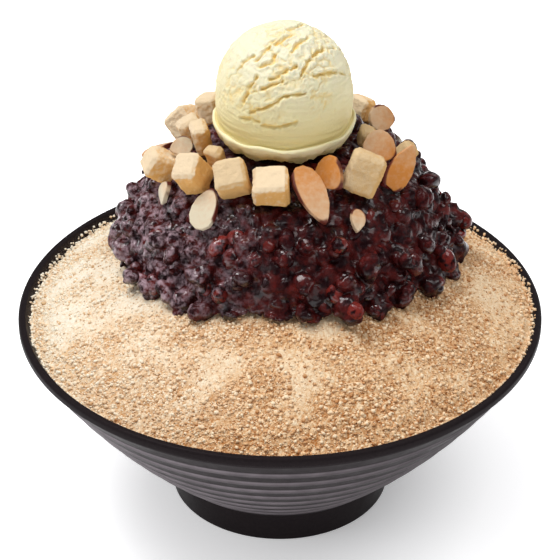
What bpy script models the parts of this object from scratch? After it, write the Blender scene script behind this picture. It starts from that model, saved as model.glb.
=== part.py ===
# A dark ribbed bowl of shaved ice under toasted bean powder. On the ice lies a heap of sweet red beans,
# and on the heap an ice cream scoop in a ring of rice cakes and almond slices. Metres, +Z up, and the
# origin is where the bowl's axis meets the table. The front is towards -Y.

import math
import random

import bmesh
import bpy
from mathutils import Matrix, Vector, noise
from mathutils.bvhtree import BVHTree

MM = 0.001
GAP = 0.3 * MM
CUT_GAP = 0.35 * MM
MERGE_DISTANCE = 0.001 * MM
QUARTER_TURN = math.pi / 2

# The bowl: a foot ring, a wall that is one arc in section, and a lip.
RIM_RADIUS = 95.0 * MM
BOWL_HEIGHT = 77.0 * MM
WALL_THICKNESS = 3.0 * MM
FOOT_HEIGHT = 12.0 * MM
FOOT_TOP_RADIUS = 41.5 * MM
FOOT_BOTTOM_RADIUS = 40.5 * MM
FOOT_INNER_RADIUS = 36.5 * MM
FOOT_RECESS = 9.5 * MM
FLOOR_HEIGHT = 14.0 * MM
FLOOR_RADIUS = 36.0 * MM
LIP_HEIGHT = 3.0 * MM
LIP_OVERHANG = 0.8 * MM
LIP_ROUNDING = 0.7 * MM
WALL_TURN = math.radians(17.4)
RIB_COUNT = 9
RIB_DEPTH = 0.6 * MM
RIB_CREST = 0.75
BOWL_SEGMENTS = 40
BOWL_SHARP_ANGLE = math.radians(25)
INNER_WALL_STEPS = 6

# The ice: its powdered top is a low dome from just under the rim, higher at the right.
ICE_EDGE_DROP = 3.4 * MM
ICE_EDGE_DROP_RIGHT = 1.4 * MM
ICE_PEAK = 107.0 * MM
ICE_RINGS = (0.94, 0.86, 0.76, 0.66, 0.55, 0.42, 0.26)
ICE_LUMP_SIZE = 11.0 * MM
ICE_LUMP_HEIGHT = 0.9 * MM

# The heap of beans: a steep-sided dome that stands behind the bowl's axis.
HEAP_CENTRE = Vector((2.5 * MM, 12.0 * MM, 88.0 * MM))
HEAP_RADIUS_X = 61.0 * MM
HEAP_RADIUS_Y = 58.5 * MM
HEAP_MEAN_RADIUS = (HEAP_RADIUS_X + HEAP_RADIUS_Y) / 2
HEAP_HEIGHT = 53.0 * MM
HEAP_SQUARENESS = 2.8
HEAP_ROOT = 8.0 * MM
HEAP_SEGMENTS = 32
HEAP_RINGS = 8
HEAP_LUMP_SIZE = 9.0 * MM
HEAP_LUMP_HEIGHT = 1.8 * MM
HEAP_SHARP_ANGLE = math.radians(40)

# Whole beans on the heap, in level rows. Width and depth are shares of a bean's length, spreads along a
# row are shares of the spacing, and the other spreads are in radians.
BEAN_LENGTH = (7.4 * MM, 9.4 * MM)
BEAN_WIDTH = 0.74
BEAN_DEPTH = 0.68
BEAN_STAND_OUT = 0.9 * MM
BEAN_STAND_OUT_SPREAD = 0.4 * MM
BEAN_ROLL_SPREAD = 0.5
BEAN_SPACING = 12.2 * MM
BEAN_ROW_SPREAD = 0.25
BEAN_BEND_SPREAD = 0.03
BEAN_CLEARANCE = 0.5 * MM
BEAN_LEAST_HEIGHT = 1.0 * MM
FOOT_ROW_HEIGHT = 2.0 * MM
FOOT_ROW_SPREAD = 0.3
FOOT_ROW_START = 0.6
WALK_STEPS = 400
WALK_STEP = 0.01

# The scoop: a ball with a collar where the scoop's edge pressed it.
SCOOP_CENTRE = Vector((1.5 * MM, 12.0 * MM, 159.2 * MM))
SCOOP_RADIUS = 24.2 * MM
SCOOP_FLANK_DRAW = 0.3
COLLAR_RADIUS = 25.3 * MM
COLLAR_TOP = -10.6 * MM
COLLAR_BOTTOM = -17.0 * MM
COLLAR_TAPER = 1.4 * MM
COLLAR_ROUNDING = 0.6 * MM
COLLAR_CREASE = 1.0 * MM
SCOOP_UNDERSIDE_RADIUS = 21.3 * MM
SCOOP_BASE = -20.0 * MM
SCOOP_BASE_RADIUS = 16.3 * MM
SCOOP_SEGMENTS = 32
SCOOP_BALL_STEPS = 11
SCOOP_LUMP_SIZE = 7.0 * MM
SCOOP_LUMP_HEIGHT = 0.45 * MM
SCOOP_SHARP_ANGLE = math.radians(50)

# Rice cakes, each by the angle round the heap, the distance from its axis, the height of the cake's
# middle over the heap, its turn and lean in degrees, and its length, width and height in millimetres.
RICE_CAKES = (
    (-168, 41.8, 4.8, 0, 24, (9.6, 10.5, 11.5)),
    (-144, 37.0, 5.6, 34, 8, (10.5, 10.0, 13.0)),
    (-122, 33.2, 5.6, 38, 16, (11.2, 11.0, 11.5)),
    (-99, 32.6, 3.6, 10, -6, (12.0, 12.6, 9.4)),
    (-46, 34.5, 6.2, -54, -35, (7.5, 12.0, 15.0)),
    (167, 33.0, 3.4, 26, 4, (8.8, 8.6, 9.0)),
    (-170, 28.4, 5.2, 0, -4, (6.0, 9.5, 11.5)),
    (-146, 28.4, 3.4, 30, 0, (5.2, 6.5, 9.0)),
    (141, 32.5, 4.6, 14, -4, (9.0, 9.5, 11.0)),
    (-5, 26.9, 3.2, 4, 0, (6.0, 8.5, 7.0)),
    (42, 33.0, 3.8, 15, 4, (8.5, 9.0, 9.5)),
    (0, 40.0, 2.6, 28, 10, (6.0, 6.5, 7.5)),
    (68, 34.5, 4.6, 32, 8, (11.5, 11.5, 11.0)),
    (92, 34.0, 4.6, 8, 5, (11.5, 12.0, 11.0)),
    (116, 36.5, 4.6, 47, 12, (11.0, 11.0, 11.5)),
    (138, 46.5, 3.4, 20, 6, (11.0, 11.0, 10.5)),
)
CAKE_ROUNDING = 1.3 * MM
CAKE_UNEVENNESS = 0.6 * MM

# Almond slices, each by angle, distance, height and turn as above, the lean of its face, its roll about
# its own length, and its length and width in millimetres.
ALMONDS = (
    (-77, 36.0, 4.2, 14, -8, -6, (23.0, 10.6)),
    (-64, 30.8, 5.2, 4, 0, 58, (13.5, 11.0)),
    (-129, 43.0, 2.0, 190, 4, 0, (15.5, 10.0)),
    (-156, 45.2, 1.8, 165, 30, 0, (9.5, 7.0)),
    (-166, 34.5, 7.0, 0, 15, -50, (8.4, 6.8)),
    (-22, 31.8, 7.2, 6, 0, 44, (12.5, 11.5)),
    (-24, 39.4, 6.0, 108, 50, 0, (19.0, 9.0)),
    (22, 34.0, 5.6, 0, 10, 58, (10.5, 9.5)),
    (-58, 44.5, 0.8, -28, 8, 0, (9.0, 5.5)),
    (73, 47.0, 2.0, 30, 14, -8, (17.0, 10.5)),
    (98, 46.5, 2.2, -50, 16, 10, (17.0, 10.5)),
    (119, 51.0, 1.2, 20, 8, 0, (15.0, 9.5)),
    (165, 45.0, 2.4, 62, 24, -10, (16.0, 10.5)),
    (40, 47.5, 0.8, -15, 6, 6, (14.0, 9.0)),
)
ALMOND_THICKNESS = 1.8 * MM
ALMOND_POINTEDNESS = 0.28
ALMOND_TIP_START = 0.4
ALMOND_TIP_NARROWING = 0.9
ALMOND_CAMBER = 0.9 * MM
ALMOND_SIDES = 14


def clear_scene():
    for old in list(bpy.data.objects):
        bpy.data.objects.remove(old, do_unlink=True)


def make_material(name, colour, roughness):
    material = bpy.data.materials.new(name)
    material.use_nodes = True
    shader = material.node_tree.nodes["Principled BSDF"]
    shader.inputs["Base Color"].default_value = (*colour, 1.0)
    shader.inputs["Roughness"].default_value = roughness
    shader.inputs["Metallic"].default_value = 0.0
    return material


def make_object(name, shape, material=None):
    """Turns a bmesh into a named object with its faces pointing out."""
    bmesh.ops.recalc_face_normals(shape, faces=shape.faces)
    mesh = bpy.data.meshes.new(name)
    shape.to_mesh(mesh)
    shape.free()
    made = bpy.data.objects.new(name, mesh)
    bpy.context.scene.collection.objects.link(made)
    if material:
        mesh.materials.append(material)
    return made


def make_cutter(name, shape):
    cutter = make_object(name, shape)
    cutter.hide_render = True
    cutter.display_type = "WIRE"
    return cutter


def trim(target, cutter, solver="EXACT"):
    cut = target.modifiers.new("trim", "BOOLEAN")
    cut.operation = "DIFFERENCE"
    cut.solver = solver
    cut.object = cutter


def apply_modifiers(target):
    depsgraph = bpy.context.evaluated_depsgraph_get()
    finished = bpy.data.meshes.new_from_object(target.evaluated_get(depsgraph))
    target.modifiers.clear()
    target.data = finished


def turned(outline, segments):
    """Spins an outline of (radius, height) pairs once round the Z axis."""
    shape = bmesh.new()
    points = [shape.verts.new((radius, 0.0, height)) for radius, height in outline]
    edges = [shape.edges.new(pair) for pair in zip(points, points[1:])]
    bmesh.ops.spin(
        shape,
        geom=points + edges,
        cent=(0, 0, 0),
        axis=(0, 0, 1),
        angle=math.tau,
        steps=segments,
        use_merge=True,
    )
    bmesh.ops.remove_doubles(shape, verts=shape.verts, dist=MERGE_DISTANCE)
    return shape


def lump(place, size, height, layer=0.0):
    """Smooth uneven relief, from -height to height."""
    return height * noise.noise(Vector((place.x / size, place.y / size, place.z / size + layer)))


# The bowl's wall is an arc. A slope is the angle of the wall from the horizontal, and fixes a point on it.
WALL_START = Vector((FOOT_TOP_RADIUS, FOOT_HEIGHT))
WALL_END = Vector((RIM_RADIUS - LIP_OVERHANG, BOWL_HEIGHT - LIP_HEIGHT))
WALL_CHORD = WALL_END - WALL_START
WALL_RADIUS = WALL_CHORD.length / (2 * math.sin(WALL_TURN / 2))
WALL_LOW_SLOPE = math.atan2(WALL_CHORD.y, WALL_CHORD.x) - WALL_TURN / 2
WALL_HIGH_SLOPE = WALL_LOW_SLOPE + WALL_TURN
WALL_ARC_CENTRE = WALL_START - WALL_RADIUS * Vector((math.sin(WALL_LOW_SLOPE), -math.cos(WALL_LOW_SLOPE)))


def wall_point(slope, inward):
    reach = WALL_RADIUS - inward
    return WALL_ARC_CENTRE + reach * Vector((math.sin(slope), -math.cos(slope)))


def wall_slope(height, inward):
    return math.acos((WALL_ARC_CENTRE.y - height) / (WALL_RADIUS - inward))


def slopes_between(start, end, steps):
    return [start + (end - start) * step / steps for step in range(steps + 1)]


def make_bowl(material):
    outline = [
        (0.0, FOOT_RECESS),
        (FOOT_INNER_RADIUS, FOOT_RECESS),
        (FOOT_INNER_RADIUS, 0.0),
        (FOOT_BOTTOM_RADIUS - LIP_ROUNDING, 0.0),
        (FOOT_BOTTOM_RADIUS, LIP_ROUNDING),
        (FOOT_TOP_RADIUS, FOOT_HEIGHT),
    ]
    for rib in range(RIB_COUNT):
        for place, depth in ((0.0, RIB_DEPTH), (RIB_CREST, 0.0)):
            slope = WALL_LOW_SLOPE + WALL_TURN * (rib + place) / RIB_COUNT
            if rib or place:
                outline.append(wall_point(slope, depth))
    outline += [
        wall_point(WALL_HIGH_SLOPE, RIB_DEPTH),
        (RIM_RADIUS, BOWL_HEIGHT - LIP_HEIGHT),
        (RIM_RADIUS, BOWL_HEIGHT - LIP_ROUNDING),
        (RIM_RADIUS - LIP_ROUNDING, BOWL_HEIGHT),
    ]
    inner_top = wall_point(wall_slope(BOWL_HEIGHT - LIP_ROUNDING, WALL_THICKNESS), WALL_THICKNESS)
    outline.append((inner_top.x + LIP_ROUNDING / 2, BOWL_HEIGHT))
    inner_top_slope = wall_slope(inner_top.y, WALL_THICKNESS)
    for slope in slopes_between(inner_top_slope, WALL_LOW_SLOPE, INNER_WALL_STEPS):
        outline.append(wall_point(slope, WALL_THICKNESS))
    outline += [(FLOOR_RADIUS, FLOOR_HEIGHT), (0.0, FLOOR_HEIGHT)]
    bowl = make_object("bowl", turned(outline, BOWL_SEGMENTS), material)
    bowl.data.shade_smooth()
    bowl.data.set_sharp_from_angle(angle=BOWL_SHARP_ANGLE)
    return bowl


def ice_edge(azimuth):
    """The radius and height of the powder's edge, which lies higher on the bowl's right side."""
    rightness = max(0.0, math.cos(azimuth)) ** 2
    height = BOWL_HEIGHT - ICE_EDGE_DROP + (ICE_EDGE_DROP - ICE_EDGE_DROP_RIGHT) * rightness
    inward = WALL_THICKNESS + GAP
    return wall_point(wall_slope(height, inward), inward)


def ice_height(x, y):
    edge = ice_edge(math.atan2(y, x))
    share = math.hypot(x, y) / edge.x
    return edge.y + (ICE_PEAK - edge.y) * (1.0 - share * share)


def ice_shape(raised=0.0):
    """The ice as one solid, from the bowl's floor to the powder. A raised copy cuts what lies on it."""
    inward = WALL_THICKNESS + GAP
    edge = wall_point(wall_slope(BOWL_HEIGHT - ICE_EDGE_DROP, inward), inward)
    outline = [(0.0, FLOOR_HEIGHT + GAP), (FLOOR_RADIUS - GAP, FLOOR_HEIGHT + GAP)]
    edge_slope = wall_slope(edge.y, inward)
    for slope in slopes_between(WALL_LOW_SLOPE, edge_slope, INNER_WALL_STEPS):
        outline.append(wall_point(slope, inward))
    outline += [(edge.x * share, ICE_PEAK) for share in ICE_RINGS]
    outline.append((0.0, ICE_PEAK))
    shape = turned(outline, BOWL_SEGMENTS)
    for vert in shape.verts:
        if vert.co.z < edge.y - MERGE_DISTANCE:
            continue
        azimuth = math.atan2(vert.co.y, vert.co.x)
        share = min(vert.co.xy.length / edge.x, 1.0)
        here = ice_edge(azimuth)
        vert.co.xy = Vector((math.cos(azimuth), math.sin(azimuth))) * here.x * share
        vert.co.z = ice_height(vert.co.x, vert.co.y) + raised
        if share < 1.0 - MERGE_DISTANCE:
            flat_place = Vector((vert.co.x, vert.co.y, 0.0))
            vert.co.z += lump(flat_place, ICE_LUMP_SIZE, ICE_LUMP_HEIGHT)
    bmesh.ops.triangulate(shape, faces=shape.faces)
    return shape


def heap_profile(bend):
    """The heap's section, as shares of its radius and height. The bend is 0 at the top."""
    return math.sin(bend) ** (2 / HEAP_SQUARENESS), math.cos(bend)


def heap_point(azimuth, bend):
    out, rise = heap_profile(bend)
    away = Vector((HEAP_RADIUS_X * out * math.cos(azimuth), HEAP_RADIUS_Y * out * math.sin(azimuth), 0.0))
    return HEAP_CENTRE + away + Vector((0, 0, HEAP_HEIGHT * rise))


def heap_seat(azimuth, bend):
    """A frame on the heap: its X runs downhill, its Y sideways and its Z straight out."""
    step = WALK_STEP
    here = heap_point(azimuth, bend)
    downhill = (heap_point(azimuth, bend + step) - heap_point(azimuth, bend - step)).normalized()
    around = (heap_point(azimuth + step, bend) - heap_point(azimuth - step, bend)).normalized()
    outward = downhill.cross(around).normalized()
    sideways = outward.cross(downhill)
    return Matrix.Translation(here) @ Matrix((downhill, sideways, outward)).transposed().to_4x4()


def bend_at(distance):
    """The bend at a distance from the heap's axis."""
    return math.asin(min(distance / HEAP_MEAN_RADIUS, 1.0) ** (HEAP_SQUARENESS / 2))


def heap_core_shape(swell=0.0):
    """The lumpy mass under the beans. A swollen copy cuts the seats of what lies on it."""
    outline = [heap_profile(QUARTER_TURN * ring / HEAP_RINGS) for ring in range(HEAP_RINGS + 1)]
    root = -HEAP_ROOT / HEAP_HEIGHT
    outline += [(1.0, root), (0.0, root)]
    shape = turned(outline, HEAP_SEGMENTS)
    for vert in shape.verts:
        grown = Vector((vert.co.x * HEAP_RADIUS_X, vert.co.y * HEAP_RADIUS_Y, vert.co.z * HEAP_HEIGHT))
        relief = lump(grown, HEAP_LUMP_SIZE, HEAP_LUMP_HEIGHT)
        vert.co = HEAP_CENTRE + grown * (1.0 + relief / HEAP_RADIUS_X)
    bmesh.ops.triangulate(shape, faces=shape.faces)
    bmesh.ops.recalc_face_normals(shape, faces=shape.faces)
    shape.normal_update()
    if swell:
        for vert, normal in [(vert, vert.normal.copy()) for vert in shape.verts]:
            vert.co += normal * swell
    return shape


def bean_shape(length, place):
    shape = bmesh.new()
    size = Matrix.Diagonal((length, length * BEAN_WIDTH, length * BEAN_DEPTH, 1.0))
    bmesh.ops.create_icosphere(shape, subdivisions=1, radius=0.5, matrix=place @ size)
    return shape


def is_clear(shape, neighbours):
    """True if the shape neither crosses a neighbour nor comes too near one."""
    own_tree = BVHTree.FromBMesh(shape)
    for tree in neighbours:
        if own_tree.overlap(tree):
            return False
        for vert in shape.verts:
            if tree.find_nearest(vert.co, BEAN_CLEARANCE)[0] is not None:
                return False
    return True


def height_over_powder(azimuth, bend):
    point = heap_point(azimuth, bend)
    return point.z - ice_height(point.x, point.y)


def row_bends():
    """The bends at which the rows of beans lie, one spacing apart down the heap, clear of the scoop."""
    bends = []
    walked = BEAN_SPACING / 2
    last = heap_point(0.0, 0.0)
    for step in range(1, WALK_STEPS):
        bend = QUARTER_TURN * step / WALK_STEPS
        here = heap_point(0.0, bend)
        walked += (here - last).length
        last = here
        if walked >= BEAN_SPACING:
            walked -= BEAN_SPACING
            if HEAP_MEAN_RADIUS * heap_profile(bend)[0] > COLLAR_RADIUS:
                bends.append(bend)
    return bends


def bean_seats(draw):
    """Bean places in staggered rows down the heap, then one row along its foot on the powder."""
    seats = []
    for row, row_bend in enumerate(row_bends()):
        count = round(math.tau * HEAP_MEAN_RADIUS * heap_profile(row_bend)[0] / BEAN_SPACING)
        stagger = 0.5 * (row % 2)
        for place in range(count):
            along = place + stagger + draw.uniform(-BEAN_ROW_SPREAD, BEAN_ROW_SPREAD)
            bend = row_bend + draw.uniform(-BEAN_BEND_SPREAD, BEAN_BEND_SPREAD)
            seats.append((math.tau * along / count, min(bend, QUARTER_TURN - WALK_STEP)))
    count = round(math.tau * HEAP_RADIUS_X / BEAN_SPACING)
    for place in range(count):
        azimuth = math.tau * (place + draw.uniform(-FOOT_ROW_SPREAD, FOOT_ROW_SPREAD)) / count
        bend = FOOT_ROW_START
        while height_over_powder(azimuth, bend) > FOOT_ROW_HEIGHT and bend < QUARTER_TURN - WALK_STEP:
            bend += WALK_STEP
        seats.append((azimuth, bend))
    return seats


def make_heap(material, ice_cutter, neighbours):
    """The core with whole beans fused on, cut flush with the powder under it."""
    draw = random.Random(7)
    beans = bpy.data.collections.new("beans")
    bpy.context.scene.collection.children.link(beans)
    for azimuth, bend in bean_seats(draw):
        length = draw.uniform(*BEAN_LENGTH)
        turn = Matrix.Rotation(draw.uniform(0, math.pi), 4, "Z")
        roll = Matrix.Rotation(draw.uniform(-BEAN_ROLL_SPREAD, BEAN_ROLL_SPREAD), 4, "Y")
        stand_out = BEAN_STAND_OUT + draw.uniform(-BEAN_STAND_OUT_SPREAD, BEAN_STAND_OUT_SPREAD)
        if height_over_powder(azimuth, bend) < BEAN_LEAST_HEIGHT:
            continue
        out = Matrix.Translation((0, 0, stand_out))
        shape = bean_shape(length, heap_seat(azimuth, bend) @ out @ turn @ roll)
        if not is_clear(shape, neighbours):
            shape.free()
            continue
        bean = make_object("bean", shape)
        bpy.context.scene.collection.objects.unlink(bean)
        beans.objects.link(bean)
    heap = make_object("red_bean_heap", heap_core_shape(), material)
    fuse = heap.modifiers.new("fuse", "BOOLEAN")
    fuse.operation = "UNION"
    fuse.operand_type = "COLLECTION"
    fuse.collection = beans
    apply_modifiers(heap)
    for bean in list(beans.objects):
        bpy.data.objects.remove(bean, do_unlink=True)
    bpy.data.collections.remove(beans)
    trim(heap, ice_cutter, solver="MANIFOLD")
    apply_modifiers(heap)
    keep_largest_piece(heap)
    heap.data.shade_smooth()
    heap.data.set_sharp_from_angle(angle=HEAP_SHARP_ANGLE)
    return heap


def keep_largest_piece(target):
    """Drops the scraps that a cut leaves loose."""
    shape = bmesh.new()
    shape.from_mesh(target.data)
    unseen = set(shape.verts)
    pieces = []
    while unseen:
        piece = set()
        edge_of_search = [next(iter(unseen))]
        while edge_of_search:
            vert = edge_of_search.pop()
            if vert in piece:
                continue
            piece.add(vert)
            edge_of_search += [edge.other_vert(vert) for edge in vert.link_edges]
        unseen -= piece
        pieces.append(piece)
    pieces.sort(key=len)
    scraps = [vert for piece in pieces[:-1] for vert in piece]
    bmesh.ops.delete(shape, geom=scraps, context="VERTS")
    shape.to_mesh(target.data)
    shape.free()


def make_scoop(material, seat_cutter):
    outline = [(0.0, SCOOP_RADIUS)]
    ball_end = math.acos((COLLAR_TOP + COLLAR_CREASE) / SCOOP_RADIUS)
    for step in range(1, SCOOP_BALL_STEPS + 1):
        angle = ball_end * step / SCOOP_BALL_STEPS
        radius = SCOOP_RADIUS * math.sin(angle)
        if angle > QUARTER_TURN:
            radius = SCOOP_RADIUS - SCOOP_FLANK_DRAW * (SCOOP_RADIUS - radius)
        outline.append((radius, SCOOP_RADIUS * math.cos(angle)))
    outline += [
        (COLLAR_RADIUS - COLLAR_ROUNDING, COLLAR_TOP),
        (COLLAR_RADIUS, COLLAR_TOP - COLLAR_ROUNDING),
        (COLLAR_RADIUS - COLLAR_TAPER, (COLLAR_TOP + COLLAR_BOTTOM) / 2),
        (SCOOP_UNDERSIDE_RADIUS, COLLAR_BOTTOM),
        (SCOOP_BASE_RADIUS, SCOOP_BASE),
        (0.0, SCOOP_BASE),
    ]
    shape = turned(outline, SCOOP_SEGMENTS)
    for vert in shape.verts:
        relief = lump(vert.co, SCOOP_LUMP_SIZE, SCOOP_LUMP_HEIGHT)
        vert.co *= 1.0 + relief / SCOOP_RADIUS
        if vert.co.z < COLLAR_TOP:
            vert.co.z += lump(vert.co, SCOOP_LUMP_SIZE, 2 * SCOOP_LUMP_HEIGHT, layer=5.0)
    bmesh.ops.translate(shape, vec=SCOOP_CENTRE, verts=shape.verts)
    scoop = make_object("ice_cream_scoop", shape, material)
    trim(scoop, seat_cutter)
    apply_modifiers(scoop)
    scoop.data.shade_smooth()
    scoop.data.set_sharp_from_angle(angle=SCOOP_SHARP_ANGLE)
    return scoop


def make_rice_cake(number, spec, material, seat_cutter, draw):
    azimuth, distance, height, turn, lean, size = spec
    shape = bmesh.new()
    bmesh.ops.create_cube(shape, size=1.0)
    for vert in shape.verts:
        for axis in range(3):
            uneven = draw.uniform(-CAKE_UNEVENNESS, CAKE_UNEVENNESS)
            vert.co[axis] = vert.co[axis] * size[axis] * MM + uneven
    bmesh.ops.bevel(shape, geom=shape.edges[:], offset=CAKE_ROUNDING, segments=1, affect="EDGES")
    place = heap_seat(math.radians(azimuth), bend_at(distance * MM))
    place @= Matrix.Translation((0, 0, height * MM))
    place @= Matrix.Rotation(math.radians(turn), 4, "Z") @ Matrix.Rotation(math.radians(lean), 4, "Y")
    bmesh.ops.transform(shape, matrix=place, verts=shape.verts)
    cake = make_object(f"rice_cake_{number:02d}", shape, material)
    trim(cake, seat_cutter)
    apply_modifiers(cake)
    return cake


def make_almond(number, spec, material, seat_cutter):
    azimuth, distance, height, turn, lean, roll, (length, width) = spec
    shape = bmesh.new()
    bmesh.ops.create_circle(shape, cap_ends=True, radius=0.5, segments=ALMOND_SIDES)
    for vert in shape.verts:
        along = vert.co.x
        tip = max(0.0, 2 * along - ALMOND_TIP_START)
        narrowing = 1.0 - 2 * ALMOND_POINTEDNESS * along - ALMOND_TIP_NARROWING * tip * tip
        vert.co = Vector((along * length * MM, vert.co.y * width * MM * narrowing, -ALMOND_THICKNESS / 2))
    face = shape.faces[:]
    grown = bmesh.ops.extrude_face_region(shape, geom=face, use_keep_orig=True)
    top = [item for item in grown["geom"] if isinstance(item, bmesh.types.BMVert)]
    bmesh.ops.translate(shape, vec=(0, 0, ALMOND_THICKNESS), verts=top)
    caps = [item for item in shape.faces if len(item.verts) == ALMOND_SIDES]
    bmesh.ops.poke(shape, faces=caps)
    for vert in shape.verts:
        share = 2 * vert.co.x / (length * MM)
        vert.co.z -= ALMOND_CAMBER * share * share
    place = heap_seat(math.radians(azimuth), bend_at(distance * MM))
    place @= Matrix.Translation((0, 0, height * MM))
    place @= Matrix.Rotation(math.radians(turn), 4, "Z")
    place @= Matrix.Rotation(math.radians(-lean), 4, "Y") @ Matrix.Rotation(math.radians(roll), 4, "X")
    bmesh.ops.transform(shape, matrix=place, verts=shape.verts)
    almond = make_object(f"almond_slice_{number:02d}", shape, material)
    trim(almond, seat_cutter)
    apply_modifiers(almond)
    return almond


def surface_tree(target):
    mesh = target.data
    corners = [vert.co.copy() for vert in mesh.vertices]
    return BVHTree.FromPolygons(corners, [list(face.vertices) for face in mesh.polygons])


clear_scene()
melamine = make_material("melamine", (0.035, 0.030, 0.032), 0.42)
powder = make_material("bean_powder", (0.80, 0.60, 0.38), 0.95)
red_bean = make_material("red_bean", (0.045, 0.008, 0.010), 0.25)
ice_cream = make_material("ice_cream", (0.86, 0.79, 0.47), 0.55)
rice_cake = make_material("rice_cake", (0.82, 0.62, 0.36), 0.90)
almond_flesh = make_material("almond", (0.80, 0.58, 0.33), 0.60)

seat = make_cutter("seat_cutter", heap_core_shape(swell=CUT_GAP))
ice_top = make_cutter("ice_cutter", ice_shape(raised=CUT_GAP))
make_bowl(melamine)
make_object("powdered_ice", ice_shape(), powder)
toppings = [make_scoop(ice_cream, seat)]
cake_draw = random.Random(3)
for number, spec in enumerate(RICE_CAKES, start=1):
    toppings.append(make_rice_cake(number, spec, rice_cake, seat, cake_draw))
for number, spec in enumerate(ALMONDS, start=1):
    toppings.append(make_almond(number, spec, almond_flesh, seat))
make_heap(red_bean, ice_top, [surface_tree(item) for item in toppings])
for cutter in (seat, ice_top):
    bpy.data.objects.remove(cutter, do_unlink=True)
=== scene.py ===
import math
import random

import bpy
import numpy as np
from mathutils import Matrix, Vector, noise
from mathutils.bvhtree import BVHTree


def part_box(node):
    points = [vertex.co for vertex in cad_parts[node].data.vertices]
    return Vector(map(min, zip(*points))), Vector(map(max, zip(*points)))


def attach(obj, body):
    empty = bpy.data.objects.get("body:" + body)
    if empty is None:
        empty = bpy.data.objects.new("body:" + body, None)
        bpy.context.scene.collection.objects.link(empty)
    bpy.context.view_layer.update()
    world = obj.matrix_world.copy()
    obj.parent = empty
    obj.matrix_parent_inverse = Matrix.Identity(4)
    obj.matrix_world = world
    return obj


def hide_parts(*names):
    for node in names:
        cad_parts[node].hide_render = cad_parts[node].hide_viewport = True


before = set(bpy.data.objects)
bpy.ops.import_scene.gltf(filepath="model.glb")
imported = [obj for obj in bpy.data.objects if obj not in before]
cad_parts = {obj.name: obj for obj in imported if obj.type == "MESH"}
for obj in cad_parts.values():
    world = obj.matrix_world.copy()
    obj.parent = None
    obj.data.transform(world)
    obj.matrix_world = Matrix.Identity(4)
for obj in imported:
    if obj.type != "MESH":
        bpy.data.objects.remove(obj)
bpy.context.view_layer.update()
bpy.ops.object.select_all(action="DESELECT")

# The studio: a white table with a painted glow all round the bowl, which fades to a painted shadow under it
# and a little to its right, a large soft lamp above on the left, weaker lamps round it, and a camera that
# looks down into the bowl.
FLOOR_SIZE = 8.0
FLOOR_COLOUR = (0.93, 0.93, 0.94, 1.0)
FLOOR_GLOWS = ((0.0, 0.10), (0.05, 0.50), (0.10, 0.80), (0.50, 0.76))
SHADE_SHIFT = 0.018
SKY_STRENGTH = 0.16
VIEW_DISTANCE = 0.900
VIEW_RISE = math.radians(32.48)
VIEW_TARGET = Vector((0.0, 0.0, 0.0875))
FRAME_PIXELS = 560
FOCAL_PIXELS = 2487.1
SENSOR_WIDTH = 36.0
LIGHTS = (
    ("key_light", (-0.37, 0.08, 1.03), 0.55, 9.3),
    ("side_light", (-1.00, -0.30, 0.40), 0.36, 1.2),
    ("right_light", (0.55, -0.15, 1.00), 0.60, 3.6),
    ("front_light", (0.10, -1.10, 0.60), 0.60, 0.9),
    ("rim_light", (0.55, 0.75, 0.60), 0.50, 1.0),
)

bpy.ops.mesh.primitive_plane_add(size=FLOOR_SIZE, location=(SHADE_SHIFT, 0.0, 0.0))
floor = bpy.context.object
floor.name = "studio_floor"
floor_finish = bpy.data.materials.new("white_table")
floor_finish.use_nodes = True
floor_finish.node_tree.nodes["Principled BSDF"].inputs["Base Color"].default_value = FLOOR_COLOUR
floor_finish.node_tree.nodes["Principled BSDF"].inputs["Roughness"].default_value = 0.9
floor_finish.node_tree.nodes["Principled BSDF"].inputs["Emission Color"].default_value = FLOOR_COLOUR
floor_nodes = floor_finish.node_tree.nodes
floor_place = floor_nodes.new("ShaderNodeTexCoord")
floor_reach = floor_nodes.new("ShaderNodeVectorMath")
floor_reach.operation = "LENGTH"
floor_finish.node_tree.links.new(floor_place.outputs["Object"], floor_reach.inputs[0])
# The glow fades to almost nothing near the middle: a painted shadow under the bowl, shifted a little to the
# right.
floor_glow = floor_nodes.new("ShaderNodeValToRGB")
while len(floor_glow.color_ramp.elements) < len(FLOOR_GLOWS):
    floor_glow.color_ramp.elements.new(1.0)
for element, (reach, glow) in zip(floor_glow.color_ramp.elements, FLOOR_GLOWS):
    element.position = reach
    element.color = (glow, glow, glow, 1.0)
floor_finish.node_tree.links.new(floor_reach.outputs["Value"], floor_glow.inputs["Fac"])
floor_finish.node_tree.links.new(
    floor_glow.outputs["Color"], floor_nodes["Principled BSDF"].inputs["Emission Strength"]
)
floor.data.materials.append(floor_finish)

sky = bpy.data.worlds.new("studio_air")
sky.use_nodes = True
sky.node_tree.nodes["Background"].inputs["Color"].default_value = (1.0, 1.0, 1.0, 1.0)
sky.node_tree.nodes["Background"].inputs["Strength"].default_value = SKY_STRENGTH
bpy.context.scene.world = sky
bpy.context.scene.view_settings.view_transform = "Standard"

for light_name, light_place, light_size, light_power in LIGHTS:
    aim = (VIEW_TARGET - Vector(light_place)).to_track_quat("-Z", "Y").to_euler()
    bpy.ops.object.light_add(type="AREA", location=light_place, rotation=aim)
    bpy.context.object.name = light_name
    bpy.context.object.data.size = light_size
    bpy.context.object.data.energy = light_power

view_back = Vector((0.0, -math.cos(VIEW_RISE), math.sin(VIEW_RISE)))
view_up = Vector((0.0, math.sin(VIEW_RISE), math.cos(VIEW_RISE)))
view_right = Vector((1.0, 0.0, 0.0))
view_point = VIEW_TARGET + VIEW_DISTANCE * view_back
bpy.ops.object.camera_add(location=view_point, rotation=(math.pi / 2 - VIEW_RISE, 0.0, 0.0))
camera = bpy.context.object
camera.data.sensor_width = SENSOR_WIDTH
camera.data.lens = FOCAL_PIXELS / FRAME_PIXELS * SENSOR_WIDTH
camera.data.clip_start = 0.01
bpy.context.scene.camera = camera

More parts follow.
